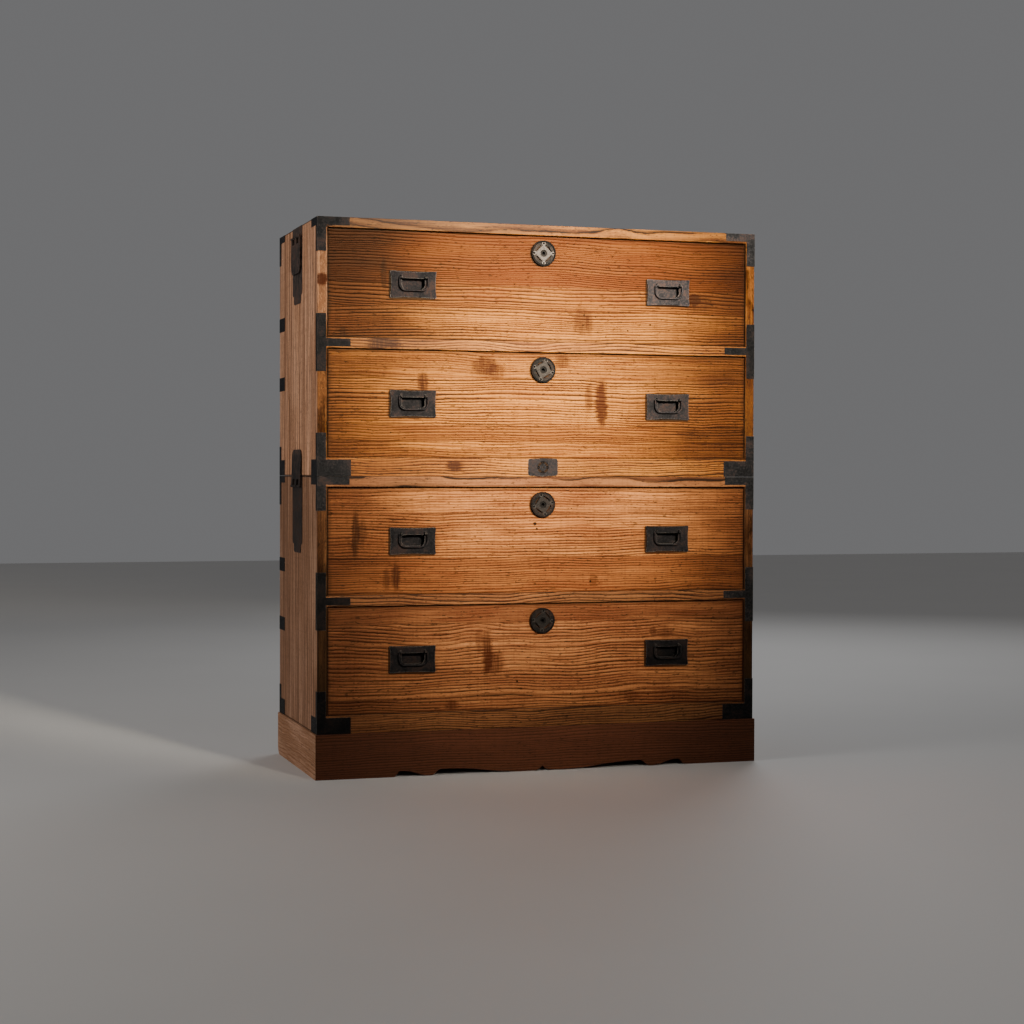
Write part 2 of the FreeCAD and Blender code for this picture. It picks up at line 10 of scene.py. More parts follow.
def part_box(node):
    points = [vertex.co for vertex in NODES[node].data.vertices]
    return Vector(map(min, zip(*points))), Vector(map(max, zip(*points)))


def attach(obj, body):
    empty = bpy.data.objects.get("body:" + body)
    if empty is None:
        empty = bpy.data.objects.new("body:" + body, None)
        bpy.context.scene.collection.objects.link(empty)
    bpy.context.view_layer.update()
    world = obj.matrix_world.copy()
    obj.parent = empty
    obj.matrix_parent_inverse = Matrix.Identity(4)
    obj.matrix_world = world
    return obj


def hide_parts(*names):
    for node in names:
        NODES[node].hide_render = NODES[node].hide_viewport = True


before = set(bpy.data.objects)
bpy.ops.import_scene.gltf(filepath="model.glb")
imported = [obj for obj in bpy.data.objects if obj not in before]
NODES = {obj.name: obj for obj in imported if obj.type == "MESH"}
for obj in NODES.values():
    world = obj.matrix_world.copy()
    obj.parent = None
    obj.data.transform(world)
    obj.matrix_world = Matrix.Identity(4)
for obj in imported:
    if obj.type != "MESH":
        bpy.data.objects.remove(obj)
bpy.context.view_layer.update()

bl_info = {
    "name": "Stacked Clothing Chest",
    "version": (1, 0, 0),
    "blender": (4, 5, 0),
    "location": "3D View > Sidebar > Chest",
    "description": "Wood, ironwork and small fittings of a stacked clothing chest",
    "category": "Object",
}

DRAWERS = (1, 2, 3, 4)
SIDES = ("left", "right")
CASES = ("lower", "upper")
TO_MM = 1000.0
MM = 0.001
CORNER_STEPS = 7
ROUND_SIDES = 14
DOME_RINGS = 4
MERGE_DISTANCE = 0.00001
EASE_SEGMENTS = 2
EASE_ANGLE = math.radians(35.0)
ROD_DENTS = 12
BACK_BOARDS = 4


def span(node):
    """A node's limits along X, Y and Z, in millimetres."""
    low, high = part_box(node)
    return [(low[i] * TO_MM, high[i] * TO_MM) for i in range(3)]


def between(limits):
    """The middle of a pair of limits."""
    return (limits[0] + limits[1]) / 2


# Sizes that model.glb gives, and fixed sizes of the fittings, in millimetres.
HANDLE_PLATE = 1.2
DRAWER_GAP = 1.0
CASE_FRONT = span("lower_case_side_left")[1][0]
INNER_X = span("drawer_1_front")[0][1] + DRAWER_GAP
FOOT_X = span("lower_case_top")[0][1] + HANDLE_PLATE
BAIL_DEPTH = span("drawer_1_bail_left")[1]
PULL_CORNER = 3.0
EYE_REACH = 6.0
ROD_STEP = 2.0
NAIL_SPREAD = 6.5
NAIL_LIFT = 8.5
NAIL_RADIUS = 2.4
NAIL_RISE = 0.9
ROUNDEL_RADIUS = 9.5
LOCK_RIM = 3.55
STUD_RISE = 0.5
KEYHOLE_DEPTH = 6.9
KEY_PIN_RADIUS = 1.0
KEY_PIN_LENGTH = 5.6


# Shading


class Wire:
    """An output of a node that takes part in arithmetic; each sign adds its Math node."""

    def __init__(self, finish, socket):
        self.finish = finish
        self.socket = socket

    def math(self, operation, *others):
        terms = dict(enumerate((self,) + others))
        return self.finish.node("ShaderNodeMath", {"operation": operation}, terms)

    def other(self, name):
        """A further output of the same node."""
        return Wire(self.finish, self.socket.node.outputs[name])

    def clamp(self, low=0.0, high=1.0):
        return self.math("MAXIMUM", low).math("MINIMUM", high)

    def __add__(self, term):
        return self.math("ADD", term)

    __radd__ = __add__

    def __mul__(self, term):
        return self.math("MULTIPLY", term)

    __rmul__ = __mul__

    def __sub__(self, term):
        return self.math("SUBTRACT", term)

    def __rsub__(self, term):
        return self * -1.0 + term

    def __truediv__(self, term):
        return self.math("DIVIDE", term)

    def __pow__(self, term):
        return self.math("POWER", term)

    def __abs__(self):
        return self.math("ABSOLUTE")


class Finish:
    """A surface finish under construction."""

    def __init__(self, name):
        self.material = bpy.data.materials.new(name)
        self.material.use_nodes = True
        self.tree = self.material.node_tree
        self.tree.nodes.clear()

    def node(self, kind, settings, inputs, output=0):
        """Add one node, settings first, then the values and links of its sockets."""
        made = self.tree.nodes.new(kind)
        for name, value in settings.items():
            if name == "stops":
                ramp = made.color_ramp
                while len(ramp.elements) < len(value):
                    ramp.elements.new(0.5)
                for element, (position, level) in zip(ramp.elements, value):
                    element.position = position
                    element.color = (level, level, level, 1.0)
            else:
                setattr(made, name, value)
        for name, value in inputs.items():
            if isinstance(value, Wire):
                self.tree.links.new(value.socket, made.inputs[name])
            else:
                made.inputs[name].default_value = value
        return Wire(self, made.outputs[output]) if made.outputs else made

    def place(self):
        """Where the surface is on the chest at rest, in millimetres, as X, Y and Z."""
        here = self.node("ShaderNodeTexCoord", {}, {}, "Object")
        in_mm = self.node("ShaderNodeVectorMath", {"operation": "SCALE"}, {0: here, "Scale": TO_MM})
        parts = self.node("ShaderNodeSeparateXYZ", {}, {0: in_mm})
        return parts, parts.other("Y"), parts.other("Z")

    def joined(self, x, y, z):
        return self.node("ShaderNodeCombineXYZ", {}, {0: x, 1: y, 2: z})

    def noise(self, x, y, z, detail=2.0, roughness=0.5, output=0):
        settings = {"noise_dimensions": "3D"}
        inputs = {"Vector": self.joined(x, y, z), "Scale": 1.0, "Detail": detail, "Roughness": roughness}
        return self.node("ShaderNodeTexNoise", settings, inputs, output)

    def noise_line(self, along, detail=1.0):
        inputs = {"W": along, "Scale": 1.0, "Detail": detail}
        return self.node("ShaderNodeTexNoise", {"noise_dimensions": "1D"}, inputs)

    def ramp(self, value, *stops):
        return self.node("ShaderNodeValToRGB", {"stops": stops}, {0: value})

    def step(self, value, low, high):
        """0 below low and 1 above high, with a soft rise between."""
        inputs = {0: value, 1: low, 2: high}
        return self.node("ShaderNodeMapRange", {"interpolation_type": "SMOOTHSTEP"}, inputs)

    def mix(self, amount, first, second, blend="MIX"):
        settings = {"data_type": "RGBA", "blend_type": blend}
        return self.node("ShaderNodeMix", settings, {0: amount, 6: first, 7: second}, 2)

    def worn_edge(self, radius):
        """1 along outer and inner edges, 0 on the flats."""
        rounded = self.node("ShaderNodeBevel", {"samples": 4}, {"Radius": radius * MM})
        flat = self.node("ShaderNodeNewGeometry", {}, {}, "Normal")
        alike = self.node("ShaderNodeVectorMath", {"operation": "DOT_PRODUCT"}, {0: rounded, 1: flat}, "Value")
        return self.step(1.0 - alike, 0.02, 0.2)

    def scaled(self, amount, colour, level):
        """Multiply a colour by a level, as far as amount says."""
        return self.mix(amount, colour, self.joined(level, level, level), "MULTIPLY")

    def finished(self, colour, roughness, height, depth, metallic=0.0, coat=0.0, specular=0.5, tint=(1, 1, 1)):
        """Join the colour, roughness and relief into the shader and its output."""
        relief = self.node("ShaderNodeBump", {}, {"Strength": 1.0, "Distance": depth * MM, "Height": height})
        inputs = {
            "Base Color": colour,
            "Roughness": roughness,
            "Metallic": metallic,
            "Coat Weight": coat,
            "Coat Roughness": 0.35,
            "Specular IOR Level": specular,
            "Specular Tint": tone(tint),
            "Normal": relief,
        }
        shader = self.node("ShaderNodeBsdfPrincipled", {}, inputs)
        self.node("ShaderNodeOutputMaterial", {}, {"Surface": shader})
        return self.material


def tone(colour, level=1.0):
    return tuple(channel * level for channel in colour[:3]) + (1.0,)


def tinted(colour, tint):
    return tuple(a * b for a, b in zip(colour[:3], tint))


def blended(first, second, share):
    """A tone between two colours; share is the second's part."""
    return tone(tuple((1.0 - share) * a + share * b for a, b in zip(first, second)))


# Wood


def growth(finish, u, v, w, pith, ring, wander, seed):
    """How deep each point lies in its growth ring, from 0 to 1, and a shade for the ring itself."""
    drift = finish.noise(u * 0.0036 + seed, v * 0.005, w * 0.005 + seed, 2.0, 0.5, "Color")
    drift = finish.node("ShaderNodeSeparateXYZ", {}, {0: drift})
    across = v - pith[0] + (drift - 0.5) * wander
    deep = w - pith[1] + (drift.other("Y") - 0.5) * wander
    ripple = finish.noise(u * 0.013 + seed, v * 0.03, w * 0.03, 3.0) - 0.5
    jitter = finish.noise(u * 0.09, v * 0.25 + seed, w * 0.25, 1.0) - 0.5
    radius = (across * across + deep * deep) ** 0.5 + (ripple * 0.75 + jitter * 0.12) * ring
    count = radius / ring + finish.noise_line(radius * 0.025 + seed) * 2.6
    fraction = count.math("FRACT")
    shade = finish.noise_line((count - fraction) * 1.73 + seed, 0.0)
    return fraction, shade


def smudges(finish, x, z, places):
    """Dark patches as (x, z, half width, half height, strength), their ends feathered by the grain."""
    feather = finish.noise(x * 0.012, z * 0.42, 0.0, 2.0, 0.6) - 0.5
    streak = finish.noise(x * 0.28, z * 0.02, 0.0, 2.0, 0.6) * 1.6 + 0.25
    total = 0.0
    for mark_x, mark_z, wide, high, strength in places:
        a = (x - mark_x) * (1.0 / wide) + feather * 2.0
        b = (z - mark_z) * (1.0 / high)
        total = (1.0 - finish.step(a * a + b * b, 0.25, 1.3)) * strength + total
    return (total * streak).clamp(0.0, 0.92)


def strip_value(finish, across, strips, column, blur=0.3):
    """A value that changes from one glued strip to the next."""
    value = strips[0][column]
    for lower, upper in zip(strips, strips[1:]):
        change = upper[column] - lower[column]
        if change:
            value = finish.step(across, lower[0] - blur, lower[0] + blur) * change + value
    return value


def lit(finish, x, z, base, rows):
    """Scale a tone by rows of (upper edge, level at the left, level at the right): painted light and shade."""
    left, right = (strip_value(finish, z, rows, column, 30.0) for column in (1, 2))
    level = (right - left) * finish.step(x, -80.0, 80.0) + left
    return finish.scaled(1.0, base, level)


def pitted_and_shaded(finish, colour, x, z, pits, grain, dark):
    """Dark pits, and painted shade on the wood behind pierced fittings, as (x, z, size), their rims broken up
    by the grain.
    """
    for pit_x, pit_z, size in pits:
        a, b = (x - pit_x) * (0.8 / size), (z - pit_z) * (0.8 / size)
        hole = (a * a + b * b) ** 0.5 + (grain - 0.5)
        colour = finish.mix(1.0 - finish.step(hole, 0.6, 1.0), colour, tone(dark, 0.25))
    return colour


def grimed_and_shaded(finish, colour, place, edges, cloud, dark):
    """Grime along the edges of a board's face, and a painted shadow line right at them; the face's limits are
    (X pair, Z pair, Y of the face).
    """
    x, y, z = place
    (low_x, high_x), (low_z, high_z), face_y = edges
    on_face = 1.0 - finish.step(y, face_y + 0.3, face_y + 1.5)
    near = (x - low_x).math("MINIMUM", high_x - x).math("MINIMUM", (z - low_z).math("MINIMUM", high_z - z))
    grime = 1.0 - finish.step(near + (cloud - 0.5) * 14.0, 0.0, 8.0)
    colour = finish.mix(on_face * grime * 0.45, colour, tone(dark, 0.8))
    # A painted shadow line right at the face's edges, where the gaps' shade falls.
    return finish.mix((1.0 - finish.step(near, 0.3, 1.5)) * on_face * 0.75, colour, tone(dark, 0.3))


def shadowed_and_stained(finish, colour, x, z, shadows_and_stains, cloud, dark):
    """Painted shadow below and to the left of fittings, partly iron stain, with a soft painted halo of shade,
    as (x, z, half width, half height, corner).
    """
    for stain_x, stain_z, half_x, half_z, corner in shadows_and_stains:
        # Shifted left and down as a painted shadow cast from light at the upper right.
        a = (abs(x - stain_x + 1.8) - (half_x - corner)).math("MAXIMUM", 0.0)
        b = (abs(z - stain_z + 1.3) - (half_z - corner)).math("MAXIMUM", 0.0)
        away = (a * a + b * b) ** 0.5 - corner
        colour = finish.mix((1.0 - finish.step(away, 0.6, 2.0)) * 0.92, colour, tone(dark, 0.15))
        shadow_haze = 1.0 - finish.step(away + (cloud - 0.5) * 20.0, 0.0, 10.0)
        colour = finish.mix(shadow_haze * 0.16, colour, tone(dark, 0.8))
    return colour


def timber(name, along, depth, strips, seed, tones, wander=22.0, marks=(), boards=0.0, front_tones=None,
           painted_falloff=None, relief=0.35, rough=0.5, coat=0.08, pits=(), shadows_and_stains=(), gaps=None, edges=None,
           light_rows=None, stripes=0.2, front_edge_light=((0.0, 1.0, 0.0),)):
    """Sawn wood, its grain along X, Y or Z.

    Tones are (pale, middle, growth line, dark). A strip is (its upper edge, height of the growth rings'
    middle, ring width, strength of lines, darkness, redness), and strips run upward.
    """
    finish = Finish(name)
    x, y, z = finish.place()
    u, v, w = {"X": (x, z, y), "Y": (y, x, z), "Z": (z, x, y)}[along]
    if along == "Z" and not boards:
        v, w = y, x
    seed = float(seed)
    shift = seed
    if boards:
        shift = ((x + 900.0) * (1.0 / boards)).math("FLOOR") * 7.31 + seed
        u = u + shift * 31.0
    middle, ring, line, darkness, redness = (strip_value(finish, v, strips, column) for column in range(1, 6))
    if len(strips) > 1:
        shift = middle * 0.37 + seed
    fraction, shade = growth(finish, u + shift * 13.0, v, w, (middle, depth), ring, wander, seed)
    vary = finish.step(finish.noise(u * 0.006 + shift, v * 0.02, w * 0.02, 2.0), 0.25, 0.75) * 0.8 + 0.35
    growth_line = finish.ramp(
        fraction, (0.0, 1.0), (0.08, 0.8), (0.2, 0.22), (0.5, 0.02), (0.93, 0.04), (1.0, 1.0)
    )
    pale_band = finish.ramp(fraction, (0.0, 0.0), (0.35, 0.0), (0.62, 1.0), (0.84, 1.0), (1.0, 0.0))
    broad = finish.noise(u * 0.0045 + shift, v * 0.018, w * 0.018 + shift, 3.0, 0.55)
    band = finish.noise(u * 0.008 + shift, v * 0.3, w * 0.3, 2.0, 0.6)
    fibre = finish.noise(u * 0.022 + shift, v * 0.75, w * 0.75, 4.0, 0.7)
    hair = finish.noise(u * 0.16, v * 1.3 + seed, w * 1.3, 3.0, 0.7)
    chatter = finish.step(finish.noise(u * 0.2 + seed, v * 0.012, w * 0.012, 2.0), 0.45, 0.7)
    pores = finish.step(finish.noise(u * 0.09 + seed, v * 0.32, w * 0.32, 2.0, 0.6), 0.61, 0.67)
    stripe = finish.step(finish.noise(u * 0.0022 + shift, v * 0.07, w * 0.07, 4.0, 0.65), 0.42, 0.6) * stripes

    def coloured(pale, body, dark_line, dark):
        base = finish.mix(finish.step(broad * 0.5 + band * 0.5, 0.4, 0.59), tone(pale), tone(body))
        base = finish.mix(stripe, base, blended(body, dark, 0.5))
        base = finish.mix(finish.step(fibre, 0.46, 0.64) * 0.55, base, tone(body, 0.5))
        amount = growth_line * (shade * 1.5 + 0.5) * (hair * 0.7 + band * 0.8 + 0.3) * vary * (line * 1.45)
        base = finish.mix(pale_band * (line * 0.45), base, tone(pale, 1.3))
        base = finish.mix(finish.step(hair, 0.52, 0.7) * 0.4, base, tone(pale, 1.7))
        base = finish.mix(chatter * 0.16, base, tone(body, 0.6))
        base = finish.mix(darkness, base, blended(body, dark, 0.55))
        base = finish.mix(redness, base, tone((body[0] * 1.1, body[1] * 0.78, body[2] * 0.6)))
        base = finish.mix(amount.clamp(0.0, 0.97), base, tone(dark_line))
        return finish.mix((pores * (growth_line * 0.3 + 0.6)).clamp(), base, tone(dark_line, 0.6))

    colour = coloured(*tones)
    if front_tones:
        in_front = 1.0 - finish.step(y, CASE_FRONT + 0.3, CASE_FRONT + 1.2)
        # Painted shade on the sides' front edges, darker downward.
        level = strip_value(finish, z, front_edge_light, 1, 40.0)
        facing = finish.mix(strip_value(finish, z, front_edge_light, 2, 20.0), coloured(*front_tones), colour)
        colour = finish.mix(in_front, colour, finish.scaled(1.0, facing, level))
        # Painted shade on the sides' inner faces beside the drawers, where the gaps fall dark.
        gap_shade = 1.0 - finish.step(abs(x), INNER_X + 0.6, INNER_X + 2.4)
        colour = finish.mix(gap_shade * 0.9, colour, tone(tones[3], 0.2))
    for strip in strips[:-1]:
        joint = 1.0 - finish.step(abs(v - strip[0] + (hair - 0.5) * 1.2), 0.3, 1.0)
        colour = finish.mix(joint * 0.55, colour, tone(tones[3], 0.7))
    if gaps:
        end = 1.0 - finish.step((z - gaps[0]).math("MINIMUM", gaps[1] - z), 0.8, 3.2)
        colour = finish.mix(end * 0.85, colour, tone(tones[3], 0.2))
    if marks:
        amount = smudges(finish, x, z, marks)
        if front_tones:
            amount = amount * in_front
        colour = finish.mix(amount, colour, tone((tones[3][0] * 0.8, tones[3][1] * 0.5, tones[3][2] * 0.4)))
    colour = pitted_and_shaded(finish, colour, x, z, pits, hair, tones[3])
    if edges:
        colour = grimed_and_shaded(finish, colour, (x, y, z), edges, broad, tones[3])
    colour = shadowed_and_stained(finish, colour, x, z, shadows_and_stains, broad, tones[3])
    # Painted shade toward the board's ends, away from the lit middle along X.
    if painted_falloff:
        ends = finish.step(abs(x - painted_falloff[0]) + (broad - 0.5) * 160.0, 150.0, 440.0) * painted_falloff[1]
        colour = finish.mix(ends, colour, tone((0.2, 0.13, 0.15)), "MULTIPLY")
    # Painted light and shade by height and side.
    if light_rows:
        colour = lit(finish, x, z, colour, light_rows)
    height = (1.0 - growth_line) * 0.7 + fibre * 0.3 + hair * 0.12 - pores * 0.3
    roughness = growth_line * 0.25 + (rough - 0.08) + fibre * 0.2
    return finish.finished(colour, roughness, height, relief, coat=coat, specular=0.22, tint=(1.0, 0.72, 0.42))


# Iron


def ironwork(name, colour, seed, wear=0.6, rust=0.25, metal=0.55, rough=0.5, relief=0.7,
             bright=(0.16, 0.145, 0.13), reach=1.1, scale=1.0, spots=2.6, paint=None):
    """Old black iron: mottled, finely pitted, its edges rubbed bright."""
    finish = Finish(name)
    x, y, z = finish.place()
    cloud = finish.noise(x * (0.035 * scale) + seed, y * (0.035 * scale), z * (0.035 * scale), 4.0, 0.6)
    mottle = finish.noise(x * (0.22 * scale), y * (0.22 * scale) + seed, z * (0.22 * scale), 5.0, 0.7)
    grit = finish.noise(x * 1.1, y * 1.1, z * 1.1 + seed, 3.0, 0.7)
    base = finish.mix(finish.step(cloud, 0.35, 0.65), tone(colour, 0.5), tone(colour, 1.5))
    base = finish.mix(finish.step(mottle, 0.42, 0.68) * 0.75, base, tone(colour, spots))
    red = tone((0.07, 0.03, 0.016))
    base = finish.mix(finish.step(mottle * cloud, 0.24, 0.36) * rust, base, red)
    base = finish.mix(finish.step(grit, 0.58, 0.7) * 0.45, base, tone(colour, 0.3))
    edge = finish.worn_edge(reach) * finish.step(mottle, 0.32, 0.58) * wear
    if paint:
        base, edge = paint(finish, x, z, base, edge)
    base = finish.mix(edge, base, tone(bright))
    roughness = (mottle * 0.5 + (rough - 0.22) - edge * 0.15 + grit * 0.15).clamp(0.15, 0.95)
    height = mottle * 0.9 + grit * 0.3 + cloud * 0.5
    return finish.finished(base, roughness, height, relief, metallic=metal, specular=0.12)


# Shapes


def piece_from(name, body, material, bm):
    """Turn a bmesh in millimetres into a smooth iron piece that rides on a body."""
    bm.transform(Matrix.Scale(MM, 4))
    bmesh.ops.recalc_face_normals(bm, faces=bm.faces)
    mesh = bpy.data.meshes.new(name)
    bm.to_mesh(mesh)
    bm.free()
    for polygon in mesh.polygons:
        polygon.use_smooth = True
    mesh.materials.append(material)
    piece = bpy.data.objects.new(name, mesh)
    bpy.context.scene.collection.objects.link(piece)
    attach(piece, body)
    return piece


def rounded_path(points, radii):
    """A polyline with each inner corner turned by its own radius."""
    path = [Vector(points[0])]
    for before, corner, after, radius in zip(points, points[1:], points[2:], radii):
        corner = Vector(corner)
        back = (Vector(before) - corner).normalized()
        ahead = (Vector(after) - corner).normalized()
        half = back.angle(ahead) / 2
        reach = radius / math.tan(half)
        centre = corner + (back + ahead).normalized() * (radius / math.sin(half))
        start = corner + back * reach - centre
        stop = corner + ahead * reach - centre
        for index in range(CORNER_STEPS + 1):
            path.append(centre + start.slerp(stop, index / CORNER_STEPS).normalized() * radius)
    path.append(Vector(points[-1]))
    return path


def skin(bm, loops):
    """Faces between each loop of points and the next."""
    for loop, following in zip(loops, loops[1:]):
        for side in range(ROUND_SIDES):
            nearby = (side + 1) % ROUND_SIDES
            bm.faces.new((loop[side], loop[nearby], following[nearby], following[side]))


def forge(bm, path, radius_at):
    """Sweep a round bar along a path in the XZ plane; radius_at gives its radius along the way."""
    rings = []
    for index, point in enumerate(path):
        before = path[max(index - 1, 0)]
        after = path[min(index + 1, len(path) - 1)]
        run = (after - before).normalized()
        sideways = run.cross(Vector((0, 1, 0)))
        radius = radius_at(index / (len(path) - 1))
        ring = []
        for side in range(ROUND_SIDES):
            turn = 2 * math.pi * side / ROUND_SIDES
            place = point + sideways * (radius * math.cos(turn)) + Vector((0, radius * math.sin(turn), 0))
            ring.append(bm.verts.new(place))
        rings.append(ring)
    skin(bm, rings)
    bm.faces.new(rings[0])
    bm.faces.new(rings[-1])


def dome(bm, centre, outward, radius, rise):
    """A low round head that stands on a surface."""
    turn = Vector((0, 0, 1)).rotation_difference(Vector(outward)).to_matrix()
    loops = []
    for level in range(DOME_RINGS):
        angle = math.pi / 2 * level / DOME_RINGS
        loop = []
        for side in range(ROUND_SIDES):
            around = 2 * math.pi * side / ROUND_SIDES
            flat = Vector((math.cos(around), math.sin(around), 0)) * (radius * math.cos(angle))
            loop.append(bm.verts.new(turn @ (flat + Vector((0, 0, rise * math.sin(angle)))) + centre))
        loops.append(loop)
    top = bm.verts.new(turn @ Vector((0, 0, rise)) + centre)
    skin(bm, loops)
    for side in range(ROUND_SIDES):
        bm.faces.new((loops[-1][side], loops[-1][(side + 1) % ROUND_SIDES], top))
    bm.faces.new(list(reversed(loops[0])))


def dress(node, material, ease):
    """Give a CAD node its finish and ease its sharp edges by some millimetres."""
    part = NODES[node]
    if part.material_slots:
        part.material_slots[0].material = material
    else:
        part.data.materials.append(material)
    weld = part.modifiers.new("Weld", "WELD")
    weld.merge_threshold = MERGE_DISTANCE
    bevel = part.modifiers.new("Eased edges", "BEVEL")
    bevel.width = ease * MM
    bevel.segments = EASE_SEGMENTS
    bevel.limit_method = "ANGLE"
    bevel.angle_limit = EASE_ANGLE
    bevel.use_clamp_overlap = True
    bevel.harden_normals = False
    even = part.modifiers.new("Even shading", "WEIGHTED_NORMAL")
    even.keep_sharp = False
    even.weight = 100


# Sizes and colours that a user would change


def colour_property(name, default, description):
    return FloatVectorProperty(
        name=name, description=description, subtype="COLOR", size=3, min=0.0, max=1.0, default=default
    )


class ChestWood(bpy.types.PropertyGroup):
    """Colours and easing of the wood."""

    pale: colour_property("Pale wood", (0.66, 0.25, 0.044), "Lightest tone of the drawer fronts")
    middle: colour_property("Middle wood", (0.20, 0.047, 0.008), "Body tone of the drawer fronts")
    line: colour_property("Growth lines", (0.014, 0.003, 0.0014), "Tone of the growth lines")
    dark: colour_property("Dark wood", (0.055, 0.010, 0.003), "Tone of knots, smudges and ends")
    side_pale: colour_property("Pale sides", (0.78, 0.43, 0.26), "Lightest tone of the case sides")
    side_middle: colour_property("Middle sides", (0.42, 0.19, 0.09), "Body tone of the case sides")
    plinth: colour_property("Plinth", (0.084, 0.026, 0.013), "Body tone of the plinth's front")
    inner: colour_property("Inner wood", (0.44, 0.25, 0.12), "Body tone of the drawers' insides")
    rings: FloatProperty(
        name="Growth rings", description="Scale of the growth rings", default=1.0, min=0.3, max=3.0
    )
    ease: FloatProperty(
        name="Eased edge", description="Rounding of the boards' edges in millimetres",
        default=0.9, min=0.1, max=3.0,
    )


class ChestIron(bpy.types.PropertyGroup):
    """Colours and sizes of the ironwork."""

    pulls: colour_property("Pulls", (0.0112, 0.0104, 0.0112), "Tone of the pulls")
    locks: colour_property("Locks", (0.03, 0.026, 0.023), "Tone of the locks' faces")
    corners: colour_property("Corners", (0.0072, 0.0071, 0.0076), "Tone of the corner irons")
    handles: colour_property("Handles", (0.03, 0.021, 0.017), "Tone of the carrying handles")
    rod: FloatProperty(
        name="Bail rod", description="Thickness of the bails", subtype="DISTANCE", unit="LENGTH",
        default=(BAIL_DEPTH[1] - BAIL_DEPTH[0]) * MM,
    )
    bail_corner: FloatProperty(
        name="Bail corner", description="Radius of the bails' lower corners in millimetres", default=12.0
    )
    stud: FloatProperty(
        name="Lock stud", description="Diameter of the lock's studs in millimetres", default=4.2
    )
    stud_circle: FloatProperty(
        name="Stud circle", description="How far the studs lie from the lock's middle in millimetres",
        default=19.2,
    )


class ChestStage(bpy.types.PropertyGroup):
    """The floor, the light and the camera."""

    floor: colour_property("Floor", (0.62, 0.605, 0.585), "Tone of the floor")
    air: colour_property("Surroundings", (0.72, 0.72, 0.735), "Tone of the surroundings")
    key: FloatProperty(name="Key light", description="Power of the main light in watts", default=7.5)
    fill: FloatProperty(name="Fill light", description="Power of the light on the left in watts", default=26.0)
    ambient: FloatProperty(name="Ambient", description="Strength of the surroundings' light", default=0.22)
    lens: FloatProperty(name="Lens", description="Focal length in millimetres", default=69.03)
    yaw: FloatProperty(
        name="Yaw", description="The camera's turn to the right", subtype="ANGLE",
        default=math.radians(17.514),
    )
    pitch: FloatProperty(
        name="Pitch", description="The camera's tilt downward", subtype="ANGLE",
        default=math.radians(1.175),
    )
    roll: FloatProperty(
        name="Roll", description="The camera's turn about its axis", subtype="ANGLE",
        default=math.radians(0.154),
    )


# Operators

CAMERA_PLACE = (-1.2291, -3.8818, 0.5928)
SENSOR_WIDTH = 36.0
FLOOR_HALF = 9.0


class CHEST_OT_stage(bpy.types.Operator):
    """Make the floor, the lights and the camera"""

    bl_idname = "chest.stage"
    bl_label = "Floor, Light and Camera"

    def execute(self, context):
        stage = context.scene.chest_stage
        self.floor(tone(stage.floor))
        world = bpy.data.worlds.new("Surroundings")
        world.use_nodes = True
        background = world.node_tree.nodes["Background"]
        background.inputs["Color"].default_value = tone(stage.air)
        background.inputs["Strength"].default_value = stage.ambient
        context.scene.world = world
        self.light("Key", (0.5, -2.78, 1.72), (0.0, -0.2, 0.79), 0.5, stage.key, (1.0, 0.9, 0.74), 28.0)
        self.light("Soft", (0.9, -3.0, 2.3), (0.0, -0.2, 0.5), 1.6, stage.fill * 0.25, (1.0, 0.93, 0.82))
        self.light("Fill", (-2.9, -0.7, 1.6), (-0.45, 0.0, 0.6), 1.6, stage.fill, (1.0, 0.97, 0.94))
        self.light("Back", (1.8, 2.6, 2.4), (0.0, 0.0, 0.6), 1.8, stage.fill, (0.95, 0.97, 1.0))
        self.camera(stage)
        return {"FINISHED"}

    def floor(self, colour):
        bm = bmesh.new()
        bmesh.ops.create_grid(bm, x_segments=8, y_segments=8, size=FLOOR_HALF)
        mesh = bpy.data.meshes.new("floor")
        bm.to_mesh(mesh)
        bm.free()
        finish = Finish("floor")
        x, y, z = finish.place()
        cloud = finish.noise(x * 0.002, y * 0.002, z, 3.0)
        mottled = finish.mix(cloud, tone(colour, 0.96), tone(colour, 1.03))
        mesh.materials.append(finish.finished(mottled, cloud * 0.05 + 0.6, cloud, 0.2))
        floor = bpy.data.objects.new("floor", mesh)
        bpy.context.scene.collection.objects.link(floor)

    def light(self, name, place, target, size, power, colour, spread=180.0):
        lamp = bpy.data.lights.new(name, "AREA")
        lamp.shape = "DISK"
        lamp.size = size
        lamp.energy = power
        lamp.spread = math.radians(spread)
        lamp.color = colour
        holder = bpy.data.objects.new(name, lamp)
        holder.location = place
        holder.rotation_mode = "QUATERNION"
        holder.rotation_quaternion = (Vector(target) - Vector(place)).to_track_quat("-Z", "Y")
        bpy.context.scene.collection.objects.link(holder)

    def camera(self, stage):
        yaw, pitch, roll = stage.yaw, stage.pitch, stage.roll
        ahead = Vector((math.sin(yaw) * math.cos(pitch), math.cos(yaw) * math.cos(pitch), -math.sin(pitch)))
        right = Vector((math.cos(yaw), -math.sin(yaw), 0.0))
        up = right.cross(ahead)
        level_right = right * math.cos(roll) + up * math.sin(roll)
        level_up = up * math.cos(roll) - right * math.sin(roll)
        turn = Matrix((level_right, level_up, -ahead)).transposed()
        lens = bpy.data.cameras.new("Camera")
        lens.lens = stage.lens
        lens.sensor_width = SENSOR_WIDTH
        camera = bpy.data.objects.new("Camera", lens)
        camera.matrix_world = Matrix.Translation(CAMERA_PLACE) @ turn.to_4x4()
        bpy.context.scene.collection.objects.link(camera)
        bpy.context.scene.camera = camera


# How each front's board differs from the wood's tones.
BOARD_TINTS = {1: (1.0, 1.0, 1.0), 2: (1.0, 1.0, 1.0), 3: (1.0, 1.02, 1.6), 4: (0.78, 0.84, 1.7)}
